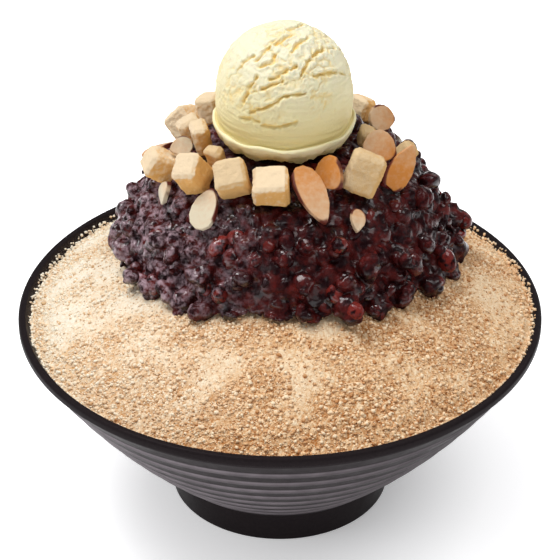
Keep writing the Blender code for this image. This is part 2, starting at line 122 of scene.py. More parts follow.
# The bowl: black melamine pressed in a mould, with nine shallow steps round its wall, a thin lip and a plain
# foot ring. In section its wall is one arc, from the top of the foot to under the lip.
MM = 0.001
RIM_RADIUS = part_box("bowl")[1].x
BOWL_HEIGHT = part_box("bowl")[1].z
WALL_THICKNESS = 3.0 * MM
FOOT_HEIGHT = 12.0 * MM
FOOT_TOP_RADIUS = 41.5 * MM
FOOT_BOTTOM_RADIUS = 40.5 * MM
FOOT_INNER_RADIUS = 36.5 * MM
FOOT_RECESS = 9.5 * MM
FLOOR_HEIGHT = 14.0 * MM
FLOOR_RADIUS = 36.0 * MM
LIP_HEIGHT = 3.0 * MM
LIP_OVERHANG = 0.8 * MM
LIP_ROUNDING = 0.7 * MM
WALL_TURN = math.radians(17.4)
RIB_COUNT = 9
RIB_DEPTH = 0.6 * MM
RIB_CREST = 0.75
WALL_STEPS = 8
BOWL_SIDES = 160
EDGE_ROUNDING = 0.3 * MM
ROUNDED_ANGLE = math.radians(12)
MELAMINE_BLACK = (0.010, 0.0078, 0.0090, 1.0)
MELAMINE_BROWN = (0.022, 0.0165, 0.0175, 1.0)
# Painted highlight on the rib ledges, strongest on the left where the light falls.
LEDGE_HIGHLIGHT_GREY = (0.170, 0.147, 0.160, 1.0)
LEDGE_FADE = 0.30
LEDGE_START = 0.88
LEDGE_END = 0.93
LIT_SIDE_REACH = (-10.0 * MM, 70.0 * MM)
LIT_SIDE_LEAST = 0.3
MELAMINE_GLEAM = (1.0, 0.86, 0.91, 1.0)
DUST_COLOUR = (0.50, 0.40, 0.30, 1.0)


def take(piece):
    """Selects one piece alone and makes it the active one."""
    bpy.ops.object.select_all(action="DESELECT")
    piece.select_set(True)
    bpy.context.view_layer.objects.active = piece


def turn_on_lathe(name, outline, sides):
    """A closed turned piece: a disc whose face is drawn out along an outline of (radius, height) pairs."""
    radius, height = outline[0]
    bpy.ops.mesh.primitive_circle_add(
        vertices=sides, radius=radius, fill_type="NGON", location=(0.0, 0.0, height)
    )
    piece = bpy.context.object
    piece.name = name
    bpy.ops.object.transform_apply(location=True, rotation=True, scale=True)
    bpy.ops.object.mode_set(mode="EDIT")
    bpy.ops.mesh.select_all(action="SELECT")
    for next_radius, next_height in outline[1:]:
        rise = (0.0, 0.0, next_height - height)
        bpy.ops.mesh.extrude_region_move(TRANSFORM_OT_translate={"value": rise})
        grow = next_radius / radius
        bpy.ops.transform.resize(value=(grow, grow, 1.0), center_override=(0.0, 0.0, 0.0))
        radius, height = next_radius, next_height
    bpy.ops.mesh.select_all(action="SELECT")
    bpy.ops.mesh.normals_make_consistent(inside=False)
    bpy.ops.object.mode_set(mode="OBJECT")
    return piece


def apply_modifier(piece, kind, **settings):
    """Adds a modifier, sets it and applies it."""
    modifier = piece.modifiers.new(kind.lower(), kind)
    for setting, value in settings.items():
        setattr(modifier, setting, value)
    take(piece)
    bpy.ops.object.modifier_apply(modifier=modifier.name)


def new_finish(name):
    """A material with its node tree and its shader."""
    finish = bpy.data.materials.new(name)
    finish.use_nodes = True
    return finish, finish.node_tree, finish.node_tree.nodes["Principled BSDF"]


def add_noise(tree, size, detail=3.0, roughness=0.55):
    """Noise in the piece's own coordinates, whose features are about the given size in metres."""
    place = tree.nodes.new("ShaderNodeTexCoord")
    pattern = tree.nodes.new("ShaderNodeTexNoise")
    pattern.inputs["Scale"].default_value = 1.0 / size
    pattern.inputs["Detail"].default_value = detail
    pattern.inputs["Roughness"].default_value = roughness
    tree.links.new(place.outputs["Object"], pattern.inputs["Vector"])
    return pattern.outputs["Fac"]


def add_ramp(tree, value, stops):
    """Colours a value between stops of (position, colour)."""
    ramp = tree.nodes.new("ShaderNodeValToRGB")
    while len(ramp.color_ramp.elements) < len(stops):
        ramp.color_ramp.elements.new(1.0)
    for element, (position, colour) in zip(ramp.color_ramp.elements, stops):
        element.position = position
        element.color = colour
    tree.links.new(value, ramp.inputs["Fac"])
    return ramp.outputs["Color"]


def add_mix(tree, share, first, second):
    """Mixes two colours, each a socket or a plain colour, by a share that is a socket."""
    mix = tree.nodes.new("ShaderNodeMix")
    mix.data_type = "RGBA"
    tree.links.new(share, mix.inputs["Factor"])
    for colour, socket in ((first, mix.inputs["A"]), (second, mix.inputs["B"])):
        if isinstance(colour, tuple):
            socket.default_value = colour
        else:
            tree.links.new(colour, socket)
    return mix.outputs["Result"]


def add_range(tree, value, low, high, to_low=0.0, to_high=1.0):
    """Maps a value from one range to another, clamped."""
    mapped = tree.nodes.new("ShaderNodeMapRange")
    mapped.inputs["From Min"].default_value = low
    mapped.inputs["From Max"].default_value = high
    mapped.inputs["To Min"].default_value = to_low
    mapped.inputs["To Max"].default_value = to_high
    tree.links.new(value, mapped.inputs["Value"])
    return mapped.outputs["Result"]


def add_math(tree, operation, first, second):
    """One sum of two values, each a socket or a number."""
    node = tree.nodes.new("ShaderNodeMath")
    node.operation = operation
    for value, socket in ((first, node.inputs[0]), (second, node.inputs[1])):
        if isinstance(value, float):
            socket.default_value = value
        else:
            tree.links.new(value, socket)
    return node.outputs["Value"]


def add_bump(tree, shader, height, distance, strength=1.0):
    """Fine relief from a height value, with its depth in metres."""
    bump = tree.nodes.new("ShaderNodeBump")
    bump.inputs["Distance"].default_value = distance
    bump.inputs["Strength"].default_value = strength
    tree.links.new(height, bump.inputs["Height"])
    tree.links.new(bump.outputs["Normal"], shader.inputs["Normal"])


def add_attribute(tree, name):
    """Reads a value stored on the piece's mesh."""
    stored = tree.nodes.new("ShaderNodeAttribute")
    stored.attribute_name = name
    return stored.outputs["Fac"]


wall_start = Vector((FOOT_TOP_RADIUS, FOOT_HEIGHT))
wall_end = Vector((RIM_RADIUS - LIP_OVERHANG, BOWL_HEIGHT - LIP_HEIGHT))
wall_chord = wall_end - wall_start
wall_radius = wall_chord.length / (2 * math.sin(WALL_TURN / 2))
wall_low_slope = math.atan2(wall_chord.y, wall_chord.x) - WALL_TURN / 2
wall_high_slope = wall_low_slope + WALL_TURN
wall_centre = wall_start - wall_radius * Vector((math.sin(wall_low_slope), -math.cos(wall_low_slope)))


def wall_point(slope, inward):
    """A point of the wall's arc, or of one that lies inward of it."""
    return wall_centre + (wall_radius - inward) * Vector((math.sin(slope), -math.cos(slope)))


def wall_slope(height, inward):
    """The slope at which an arc of the wall reaches a height."""
    return math.acos((wall_centre.y - height) / (wall_radius - inward))


bowl_outline = [
    (FOOT_INNER_RADIUS, FOOT_RECESS),
    (FOOT_INNER_RADIUS, 0.0),
    (FOOT_BOTTOM_RADIUS - LIP_ROUNDING, 0.0),
    (FOOT_BOTTOM_RADIUS, LIP_ROUNDING),
    (FOOT_TOP_RADIUS, FOOT_HEIGHT),
]
for rib in range(RIB_COUNT):
    for place, depth in ((0.0, RIB_DEPTH), (RIB_CREST, 0.0)):
        if rib or place:
            slope = wall_low_slope + WALL_TURN * (rib + place) / RIB_COUNT
            bowl_outline.append(tuple(wall_point(slope, depth)))
bowl_outline += [
    tuple(wall_point(wall_high_slope, RIB_DEPTH)),
    (RIM_RADIUS, BOWL_HEIGHT - LIP_HEIGHT),
    (RIM_RADIUS, BOWL_HEIGHT - LIP_ROUNDING),
    (RIM_RADIUS - LIP_ROUNDING, BOWL_HEIGHT),
]
inner_top = wall_point(wall_slope(BOWL_HEIGHT - LIP_ROUNDING, WALL_THICKNESS), WALL_THICKNESS)
bowl_outline.append((inner_top.x + LIP_ROUNDING / 2, BOWL_HEIGHT))
inner_top_slope = wall_slope(inner_top.y, WALL_THICKNESS)
for step in range(WALL_STEPS + 1):
    slope = inner_top_slope + (wall_low_slope - inner_top_slope) * step / WALL_STEPS
    bowl_outline.append(tuple(wall_point(slope, WALL_THICKNESS)))
bowl_outline.append((FLOOR_RADIUS, FLOOR_HEIGHT))

bowl = turn_on_lathe("melamine_bowl", bowl_outline, BOWL_SIDES)
apply_modifier(
    bowl, "BEVEL", width=EDGE_ROUNDING, segments=3, limit_method="ANGLE", angle_limit=ROUNDED_ANGLE
)
take(bowl)
bpy.ops.object.shade_smooth_by_angle(angle=math.radians(30))

melamine, tree, shader = new_finish("black_melamine")
mottle = add_noise(tree, 0.9 * MM, detail=4.0)
melamine_colour = add_mix(tree, mottle, MELAMINE_BLACK, MELAMINE_BROWN)
position = tree.nodes.new("ShaderNodeTexCoord")
split = tree.nodes.new("ShaderNodeSeparateXYZ")
tree.links.new(position.outputs["Object"], split.inputs["Vector"])
out_squared = add_math(
    tree,
    "ADD",
    add_math(tree, "MULTIPLY", split.outputs["X"], split.outputs["X"]),
    add_math(tree, "MULTIPLY", split.outputs["Y"], split.outputs["Y"]),
)
out = add_math(tree, "SQRT", out_squared, 0.0)

# The upper ledge of each rib is painted a lighter grey: a painted highlight for the white table mirrored in
# it, stronger on the left, where the light falls. The last rib is the groove under the lip, and stays black.
across = add_math(tree, "SUBTRACT", out, wall_centre.x)
below = add_math(tree, "SUBTRACT", wall_centre.y, split.outputs["Z"])
slope_up = add_math(tree, "SUBTRACT", add_math(tree, "ARCTAN2", across, below), wall_low_slope)
ribs_up = add_math(tree, "MULTIPLY", slope_up, RIB_COUNT / WALL_TURN)
in_rib = add_math(tree, "FRACT", ribs_up, 0.0)
ledge_start = add_range(tree, in_rib, LEDGE_START - LEDGE_FADE, LEDGE_START)
ledge_end = add_range(tree, in_rib, LEDGE_END, 1.0, 1.0, 0.0)
ribs_below_groove = add_range(tree, ribs_up, RIB_COUNT - 0.5, RIB_COUNT - 0.4, 1.0, 0.0)
ribs_above_foot = add_range(tree, ribs_up, 0.0, 0.05)
on_wall = add_math(tree, "MULTIPLY", ribs_above_foot, ribs_below_groove)
ledge = add_math(tree, "MULTIPLY", add_math(tree, "MULTIPLY", ledge_start, ledge_end), on_wall)
lit_side = add_range(tree, split.outputs["X"], *LIT_SIDE_REACH, 1.0, LIT_SIDE_LEAST)
highlight_patches = add_range(tree, add_noise(tree, 7.0 * MM), 0.3, 0.7, 0.65, 1.0)
highlight_strength = add_math(tree, "MULTIPLY", highlight_patches, lit_side)
painted_light_mottle = add_math(tree, "MULTIPLY", ledge, highlight_strength)
melamine_colour = add_mix(tree, painted_light_mottle, melamine_colour, LEDGE_HIGHLIGHT_GREY)

# Specks of powder have caught on the bare inside of the wall, between the powder's edge and the lip.
inside = add_range(tree, out, RIM_RADIUS - 5.5 * MM, RIM_RADIUS - 2.6 * MM, 1.0, 0.0)
high = add_range(tree, split.outputs["Z"], BOWL_HEIGHT - 5.5 * MM, BOWL_HEIGHT - 4.0 * MM)
speckle = add_range(tree, add_noise(tree, 0.28 * MM, detail=1.0), 0.60, 0.68)
dust = add_math(tree, "MULTIPLY", add_math(tree, "MULTIPLY", inside, high), speckle)
tree.links.new(add_mix(tree, dust, melamine_colour, DUST_COLOUR), shader.inputs["Base Color"])
gloss = add_range(tree, add_noise(tree, 6.0 * MM), 0.35, 0.65, 0.34, 0.44)
tree.links.new(gloss, shader.inputs["Roughness"])
shader.inputs["Specular IOR Level"].default_value = 0.03
shader.inputs["Specular Tint"].default_value = MELAMINE_GLEAM
add_bump(tree, shader, add_noise(tree, 0.45 * MM, detail=2.0), 0.03 * MM)
bowl.data.materials.append(melamine)
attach(bowl, "root")
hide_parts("bowl")

# The shaved ice with its coat of toasted bean powder: a low dome that fills the bowl almost to the rim. The
# powder is sieved on by the spoonful, so it lies in crumbly patches with smoother drifts between them.
ICE_GAP = 0.3 * MM
ICE_EDGE_DROP = 3.4 * MM
ICE_EDGE_DROP_RIGHT = 1.4 * MM
ICE_PEAK = 107.0 * MM
ICE_LUMP_SIZE = 11.0 * MM
ICE_LUMP_HEIGHT = 0.9 * MM
ICE_SIDES = 248
ICE_COVERED_RINGS = (18.0 * MM, 34.0 * MM, 44.0 * MM)
ICE_BARE_START = 46.5 * MM
ICE_BARE_RINGS = 24
ICE_CUTS = 3
GRAIN_SIZE = 2.3 * MM
GRAIN_HEIGHT = 1.05 * MM
FINE_GRAIN_SIZE = 1.15 * MM
FINE_GRAIN_HEIGHT = 0.40 * MM
DRIFT_SIZE = 17.0 * MM
SMOOTHEST = 0.26
# The powder in painted light: the cream coat is for the lit left side, and the tan coat is painted shade to
# the right and the front.
LIT_CREAM_COAT = ((0.74, 0.45, 0.21, 1.0), (0.90, 0.74, 0.54, 1.0), (0.95, 0.88, 0.74, 1.0))
SHADED_TAN_COAT = ((0.46, 0.175, 0.045, 1.0), (0.80, 0.52, 0.285, 1.0), (0.94, 0.75, 0.52, 1.0))
SHADE_SLANT = -0.5
SHADE_REACH = (-78.0 * MM, 42.0 * MM)


def ice_edge(azimuth):
    """The radius and height of the powder's edge, which lies higher on the bowl's right side."""
    rightness = max(0.0, math.cos(azimuth)) ** 2
    height = BOWL_HEIGHT - ICE_EDGE_DROP + (ICE_EDGE_DROP - ICE_EDGE_DROP_RIGHT) * rightness
    inward = WALL_THICKNESS + ICE_GAP
    return wall_point(wall_slope(height, inward), inward)


def ice_height(x, y):
    """The height of the dome, before its lumps."""
    edge = ice_edge(math.atan2(y, x))
    share = math.hypot(x, y) / edge.x
    return edge.y + (ICE_PEAK - edge.y) * (1.0 - share * share)


def crumbliness(x, y):
    """How coarse the powder lies, up to 1 in a crumbly patch: most towards the rim and in front."""
    drift = noise.noise(Vector((x / DRIFT_SIZE, y / DRIFT_SIZE, 3.1)))
    outwards = math.hypot(x, y) / RIM_RADIUS
    off_front = 1.0 - max(0.0, -y / RIM_RADIUS)
    coarse = 1.06 + 1.3 * drift + 0.8 * (outwards - 0.72) - 0.42 * off_front
    return min(1.0, max(SMOOTHEST, coarse))


def granules(x, y, size, layer):
    """Granules packed side by side: 1 on top of one, and 0 in the groove between two."""
    distances, points = noise.voronoi(Vector((x / size, y / size, layer)))
    return min(1.0, 1.7 * (distances[1] - distances[0])) ** 0.5


def powder_relief(x, y):
    """The powder's grain as a height from 0 to 1, coarse and fine together."""
    coarse = granules(x, y, GRAIN_SIZE, 0.0)
    fine = granules(x, y, FINE_GRAIN_SIZE, 7.0)
    swell = 0.5 + 0.5 * noise.noise(Vector((x / (3 * GRAIN_SIZE), y / (3 * GRAIN_SIZE), 5.0)))
    return 0.45 * coarse + 0.3 * fine + 0.25 * swell


ice_inward = WALL_THICKNESS + ICE_GAP
ice_rim = wall_point(wall_slope(BOWL_HEIGHT - ICE_EDGE_DROP, ice_inward), ice_inward)
ice_rim_slope = wall_slope(ice_rim.y, ice_inward)
ice_outline = [(FLOOR_RADIUS - ICE_GAP, FLOOR_HEIGHT + ICE_GAP)]
for step in range(WALL_STEPS):
    slope = wall_low_slope + (ice_rim_slope - wall_low_slope) * step / WALL_STEPS
    ice_outline.append(tuple(wall_point(slope, ice_inward)))
for ring in range(ICE_BARE_RINGS + 1):
    radius = ice_rim.x + (ICE_BARE_START - ice_rim.x) * ring / ICE_BARE_RINGS
    ice_outline.append((radius, ice_rim.y))
for radius in reversed(ICE_COVERED_RINGS):
    ice_outline.append((radius, ice_rim.y))
ice = turn_on_lathe("powdered_shaved_ice", ice_outline, ICE_SIDES)

take(ice)
bpy.ops.object.mode_set(mode="EDIT")
bpy.ops.mesh.select_all(action="DESELECT")
bpy.ops.object.mode_set(mode="OBJECT")
for face in ice.data.polygons:
    reach = face.center.xy.length
    face.select = face.center.z > ice_rim.y - 0.01 * MM and reach > ICE_BARE_START
bpy.ops.object.mode_set(mode="EDIT")
bpy.ops.mesh.select_mode(type="FACE")
bpy.ops.mesh.subdivide(number_cuts=ICE_CUTS)
bpy.ops.object.mode_set(mode="OBJECT")

groove_shaded_tone_values = ice.data.attributes.new("groove_shaded_tone", "FLOAT", "POINT")
for vert, value in zip(ice.data.vertices, groove_shaded_tone_values.data):
    x, y, z = vert.co
    value.value = 1.0
    if z < ice_rim.y - 0.01 * MM:
        continue
    azimuth = math.atan2(y, x)
    share = min(math.hypot(x, y) / ice_rim.x, 1.0)
    edge = ice_edge(azimuth)
    x = math.cos(azimuth) * edge.x * share
    y = math.sin(azimuth) * edge.x * share
    z = ice_height(x, y)
    lump = noise.noise(Vector((x / ICE_LUMP_SIZE, y / ICE_LUMP_SIZE, 0.0)))
    at_edge = max(0.0, (share - 0.97) / 0.03)
    z += ICE_LUMP_HEIGHT * lump * (1.0 - at_edge)
    relief = powder_relief(x, y)
    coarse = crumbliness(x, y)
    grain_height = (GRAIN_HEIGHT + FINE_GRAIN_HEIGHT) * (0.35 + 0.65 * coarse)
    z += (relief - 0.75) * grain_height * (1.0 - 0.4 * at_edge)
    # The tone is lower in the grooves between granules, more so where the powder is coarse: painted shade in
    # the hollows.
    value.value = 1.0 - (1.0 - relief) * (0.3 + 0.7 * coarse)
    vert.co = (x, y, z)
take(ice)
bpy.ops.object.shade_smooth()


def powder_coat_with_painted_light(tree, tone):
    """Colours a tone from 0 to 1 as powder with painted light: cream at the left, where the light falls, and
    browner to the right and the front, a painted shade.
    """
    stops = (0.28, 0.60, 0.86)
    cream = add_ramp(tree, tone, tuple(zip(stops, LIT_CREAM_COAT)))
    tan = add_ramp(tree, tone, tuple(zip(stops, SHADED_TAN_COAT)))
    position = tree.nodes.new("ShaderNodeTexCoord")
    split = tree.nodes.new("ShaderNodeSeparateXYZ")
    tree.links.new(position.outputs["Object"], split.inputs["Vector"])
    slant = add_math(tree, "MULTIPLY", split.outputs["Y"], SHADE_SLANT)
    across = add_math(tree, "ADD", split.outputs["X"], slant)
    wander = add_range(tree, add_noise(tree, 22.0 * MM, detail=2.0), 0.3, 0.7, -18.0 * MM, 18.0 * MM)
    shaded_share = add_range(tree, add_math(tree, "ADD", across, wander), *SHADE_REACH)
    return add_mix(tree, shaded_share, cream, tan)


powder, tree, shader = new_finish("toasted_bean_powder")
groove_shaded_tone = add_attribute(tree, "groove_shaded_tone")
fleck = add_range(tree, add_noise(tree, 0.7 * MM, detail=2.0), 0.3, 0.7, -0.16, 0.16)
tree.links.new(powder_coat_with_painted_light(tree, add_math(tree, "ADD", groove_shaded_tone, fleck)), shader.inputs["Base Color"])
shader.inputs["Roughness"].default_value = 0.95
shader.inputs["Specular IOR Level"].default_value = 0.10
add_bump(tree, shader, add_noise(tree, 0.4 * MM, detail=3.0, roughness=0.7), 0.35 * MM)
ice.data.materials.append(powder)
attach(ice, "root")
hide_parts("powdered_ice")

# Loose crumbs and grains of the same powder, where it clumped as it fell. They lie thickest round the edge
# and in front, and a few stick to the bare inside of the bowl over the powder's edge.
CRUMB_COUNT = 6900
CRUMB_SIZE = (0.7 * MM, 1.75 * MM)
EDGE_CRUMB_COUNT = 2000
EDGE_CRUMB_SIZE = (0.4 * MM, 1.5 * MM)
# How much painted shade each crumb has on its underside.
CRUMB_UNDERSIDE_SHADE = 0.5
GRAIN_COUNT = 12000
LOOSE_GRAIN_SIZE = (0.34 * MM, 0.66 * MM)
HEAP_COVER = 50.0 * MM
HEAP_SHIFT = Vector((2.5 * MM, 12.0 * MM, 0.0))


def scatter(name, shapes, places, tints, underside_shade=0.0):
    """Joins copies of a few model shapes into one mesh, each with its own place and tint, and painted shade
    on its underside.
    """
    points = []
    faces = []
    values = []
    start = 0
    for (shape, place), tint in zip(places, tints):
        shape_points, shape_faces = shapes[shape]
        offsets = shape_points @ place[:3, :3].T
        points.append(offsets + place[:3, 3])
        faces.append(shape_faces + start)
        height = offsets[:, 2] / np.abs(offsets[:, 2]).max()
        # Painted shade: each copy is darker towards its underside.
        values.append(tint + underside_shade * np.minimum(height, 0.0))
        start += len(offsets)
    mesh = bpy.data.meshes.new(name)
    mesh.from_pydata(np.concatenate(points).tolist(), [], np.concatenate(faces).tolist())
    stored = mesh.attributes.new("tint", "FLOAT", "POINT")
    stored.data.foreach_set("value", np.concatenate(values))
    piece = bpy.data.objects.new(name, mesh)
    bpy.context.scene.collection.objects.link(piece)
    take(piece)
    bpy.ops.object.shade_smooth()
    return piece


def model_shapes(count, subdivisions, unevenness, seed):
    """Points and faces of a few uneven pebbles one unit across, which are cubes if not subdivided."""
    shapes = []
    for number in range(count):
        if subdivisions:
            bpy.ops.mesh.primitive_ico_sphere_add(subdivisions=subdivisions, radius=0.5)
        else:
            bpy.ops.mesh.primitive_cube_add(size=0.8)
        pebble = bpy.context.object
        bpy.ops.object.mode_set(mode="EDIT")
        bpy.ops.transform.vertex_random(offset=unevenness, seed=seed + number)
        bpy.ops.object.mode_set(mode="OBJECT")
        mesh = pebble.data
        points = np.array([tuple(vert.co) for vert in mesh.vertices])
        faces = np.array([tuple(face.vertices) for face in mesh.polygons])
        shapes.append((points, faces))
        bpy.data.objects.remove(pebble, do_unlink=True)
    return shapes


def place_matrix(place, size, draw):
    """A random turn and uneven size at a place, as a 4 x 4 array."""
    turn = Matrix.Rotation(draw.uniform(0, math.tau), 4, "Z")
    tilt = Matrix.Rotation(draw.uniform(0, math.tau), 4, "X")
    stretch = Matrix.Diagonal((size * draw.uniform(0.85, 1.3), size, size * draw.uniform(0.6, 0.95), 1.0))
    return np.array(Matrix.Translation(place) @ (turn @ tilt) @ stretch)


def surface_of(piece):
    """A search tree over a piece's faces."""
    mesh = piece.data
    corners = [vert.co.copy() for vert in mesh.vertices]
    return BVHTree.FromPolygons(corners, [tuple(face.vertices) for face in mesh.polygons])


def powder_places(draw, count, sizes, shapes, sparsest):
    """Places and tints for crumbs on the bare powder, thicker where it lies crumbly."""
    places = []
    tints = []
    while len(places) < count:
        azimuth = draw.uniform(0, math.tau)
        reach = (ice_rim.x - 0.4 * MM) * math.sqrt(draw.random())
        x = reach * math.cos(azimuth)
        y = reach * math.sin(azimuth)
        if math.hypot(x - HEAP_SHIFT.x, y - HEAP_SHIFT.y) < HEAP_COVER:
            continue
        if draw.random() > max(sparsest, crumbliness(x, y) ** 1.5):
            continue
        top = ice_surface.ray_cast(Vector((x, y, 0.2)), Vector((0, 0, -1)))[0]
        if top is None:
            continue
        size = sizes[0] + (sizes[1] - sizes[0]) * draw.random() ** 2.0
        place = place_matrix(top + Vector((0, 0, 0.16 * size)), size, draw)
        places.append((draw.randrange(len(shapes)), place))
        tints.append(0.36 + 0.58 * draw.random() ** 0.8)
    return places, tints


ice_surface = surface_of(ice)
crumb_draw = random.Random(11)
crumb_shapes = model_shapes(6, 1, 0.14, 5)
crumb_places, crumb_tints = powder_places(crumb_draw, CRUMB_COUNT, CRUMB_SIZE, crumb_shapes, 0.10)
for number in range(EDGE_CRUMB_COUNT):
    azimuth = crumb_draw.uniform(0, math.tau)
    edge = ice_edge(azimuth)
    rise = 2.1 * MM * crumb_draw.random() ** 3.2
    size = crumb_draw.uniform(*EDGE_CRUMB_SIZE)
    wall = wall_point(wall_slope(edge.y + rise, WALL_THICKNESS), WALL_THICKNESS + 0.3 * size)
    place = Vector((wall.x * math.cos(azimuth), wall.x * math.sin(azimuth), edge.y + rise))
    crumb_places.append((crumb_draw.randrange(len(crumb_shapes)), place_matrix(place, size, crumb_draw)))
    crumb_tints.append(0.55 + 0.45 * crumb_draw.random())
crumbs = scatter("powder_crumbs", crumb_shapes, crumb_places, crumb_tints, CRUMB_UNDERSIDE_SHADE)

grain_draw = random.Random(13)
grain_shapes = model_shapes(6, 0, 0.22, 17)
grain_places, grain_tints = powder_places(grain_draw, GRAIN_COUNT, LOOSE_GRAIN_SIZE, grain_shapes, 0.35)
grains = scatter("powder_grains", grain_shapes, grain_places, grain_tints, CRUMB_UNDERSIDE_SHADE)

crumb_finish, tree, shader = new_finish("powder_crumbs")
tree.links.new(powder_coat_with_painted_light(tree, add_attribute(tree, "tint")), shader.inputs["Base Color"])
shader.inputs["Roughness"].default_value = 0.95
shader.inputs["Specular IOR Level"].default_value = 0.10
add_bump(tree, shader, add_noise(tree, 0.3 * MM), 0.12 * MM)
for piece in (crumbs, grains):
    piece.data.materials.append(crumb_finish)
    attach(piece, "root")

# The red beans: adzuki boiled soft in syrup and spooned on in a heap. Most are crushed to a wet paste with
# their skins in it, which is one lumpy mass, and whole beans lie in and on it.
PASTE_VOXEL = 0.66 * MM
PASTE_TRIANGLES = 190000
PASTE_INSET = 1.9 * MM
MASH_COUNT = 540
MASH_SIZE = (6.0 * MM, 12.5 * MM)
MASH_SINK = (0.20, 0.46)
LUMP_SIZES = ((7.6 * MM, 2.2 * MM), (3.2 * MM, 0.8 * MM))
BEAN_COUNT = 270
BEAN_SIZE = (7.0 * MM, 10.6 * MM)
BEAN_SINK = (0.18, 0.44)
HEAP_MIDDLE = Vector((2.5 * MM, 12.0 * MM, 92.0 * MM))
HEAP_REACH = 0.2
PASTE_DARK = (0.013, 0.0016, 0.0020, 1.0)
PASTE_RED = (0.100, 0.0110, 0.0090, 1.0)
BEAN_DARK = (0.026, 0.0030, 0.0034, 1.0)
BEAN_RED = (0.180, 0.0200, 0.0150, 1.0)
SYRUP_GLEAM = (0.95, 0.82, 0.98, 1.0)
WET_PATCH = 5.0 * MM
# The painted sheen: a lilac grey laid into the colour in patches on the heap's left flank, where the light
# falls.
SHEEN_COLOUR = (0.43, 0.30, 0.34, 1.0)
SHEEN_WAY = (-0.55, -0.55, 0.63)
SHEEN_REACH = (-2.0 * MM, -42.0 * MM)
SHEEN_SHARE = 0.85
NOISE_SEED = 3


def copy_of_node(node, name):
    """A copy of a solid's mesh, with its loose triangles merged."""
    piece = bpy.data.objects.new(name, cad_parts[node].data.copy())
    bpy.context.scene.collection.objects.link(piece)
    piece.data.materials.clear()
    take(piece)
    bpy.ops.object.mode_set(mode="EDIT")
    bpy.ops.mesh.select_all(action="SELECT")
    bpy.ops.mesh.remove_doubles(threshold=0.01 * MM)
    bpy.ops.mesh.customdata_custom_splitnormals_clear()
    bpy.ops.object.mode_set(mode="OBJECT")
    return piece


def move_by(piece, height_at):
    """Moves each point along its normal by what a function of its place says."""
    mesh = piece.data
    moves = [height_at(vert.co, vert.normal) * vert.normal for vert in mesh.vertices]
    for vert, move in zip(mesh.vertices, moves):
        vert.co += move
    mesh.update()


def heap_place(draw, surface):
    """A random point of a heap's outside, found from its middle, with the way out there."""
    azimuth = draw.uniform(0, math.tau)
    rise = math.asin(draw.uniform(-0.12, 1.0))
    ray = Vector((math.cos(azimuth) * math.cos(rise), math.sin(azimuth) * math.cos(rise), math.sin(rise)))
    return surface.ray_cast(HEAP_MIDDLE + HEAP_REACH * ray, -ray)[:2]


def bean_matrix(place, outward, size, draw):
    """A bean's place: lying mostly flat on the heap, turned any way, and uneven in its proportions."""
    upright = outward.to_track_quat("Z", "Y").to_matrix().to_4x4()
    turn = Matrix.Rotation(draw.uniform(0, math.tau), 4, "Z")
    tip = Matrix.Rotation(draw.gauss(0, 0.35), 4, "Y")
    roll = Matrix.Rotation(draw.gauss(0, 0.5), 4, "X")
    stretch = Matrix.Diagonal((size, size * draw.uniform(0.66, 0.80), size * draw.uniform(0.58, 0.72), 1.0))
    return Matrix.Translation(place) @ upright @ (turn @ tip) @ roll @ stretch


def painted_sheen(tree):
    """The share of a painted sheen, a lilac grey for a lamp's broad reflection, in patches on the left that
    face the light.
    """
    position = tree.nodes.new("ShaderNodeTexCoord")
    split = tree.nodes.new("ShaderNodeSeparateXYZ")
    tree.links.new(position.outputs["Object"], split.inputs["Vector"])
    on_left = add_range(tree, split.outputs["X"], *SHEEN_REACH)
    geometry = tree.nodes.new("ShaderNodeNewGeometry")
    facing = tree.nodes.new("ShaderNodeVectorMath")
    facing.operation = "DOT_PRODUCT"
    tree.links.new(geometry.outputs["Normal"], facing.inputs[0])
    facing.inputs[1].default_value = SHEEN_WAY
    faced = add_range(tree, facing.outputs["Value"], 0.15, 0.75)
    mottling = add_noise(tree, 2.4 * MM, detail=4.0, roughness=0.65)
    patches = add_range(tree, mottling, 0.45, 0.64, 0.0, SHEEN_SHARE)
    return add_math(tree, "MULTIPLY", add_math(tree, "MULTIPLY", on_left, faced), patches)


TOPPINGS = ("rice_cake", "almond", "ice_cream")
topping_nodes = [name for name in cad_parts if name.startswith(TOPPINGS)]
topping_surfaces = [surface_of(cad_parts[name]) for name in topping_nodes]


def room_at(place, least):
    """True if no topping lies within the given distance of a place."""
    return all(surface.find_nearest(place, least)[0] is None for surface in topping_surfaces)


noise.seed_set(NOISE_SEED)
bean_draw = random.Random(23)
bean_shapes = model_shapes(8, 2, 0.045, 31)
paste = copy_of_node("red_bean_heap", "red_bean_paste")
heap_surface = surface_of(paste)
move_by(paste, lambda place, normal: -PASTE_INSET)
mash_places = []
while len(mash_places) < MASH_COUNT:
    point, normal = heap_place(bean_draw, heap_surface)
    if point is None:
        continue
    size = bean_draw.uniform(*MASH_SIZE)
    centre = point - normal * bean_draw.uniform(*MASH_SINK) * size
    if not room_at(centre, 0.5 * size + 0.2 * MM) or centre.z < ice_height(centre.x, centre.y):
        continue
    place = np.array(bean_matrix(centre, normal, size, bean_draw))
    mash_places.append((bean_draw.randrange(len(bean_shapes)), place))
mash = scatter("mash", bean_shapes, mash_places, [0.0] * len(mash_places))
bpy.ops.object.select_all(action="DESELECT")
mash.select_set(True)
paste.select_set(True)
bpy.context.view_layer.objects.active = paste
bpy.ops.object.join()
apply_modifier(paste, "REMESH", mode="VOXEL", voxel_size=PASTE_VOXEL)
take(paste)
bpy.ops.object.mode_set(mode="EDIT")
bpy.ops.mesh.select_all(action="SELECT")
bpy.ops.mesh.separate(type="LOOSE")
bpy.ops.object.mode_set(mode="OBJECT")
islands = sorted(bpy.context.selected_objects, key=lambda island: len(island.data.vertices))
paste = islands.pop()
for island in islands:
    bpy.data.objects.remove(island)
paste.name = "red_bean_paste"
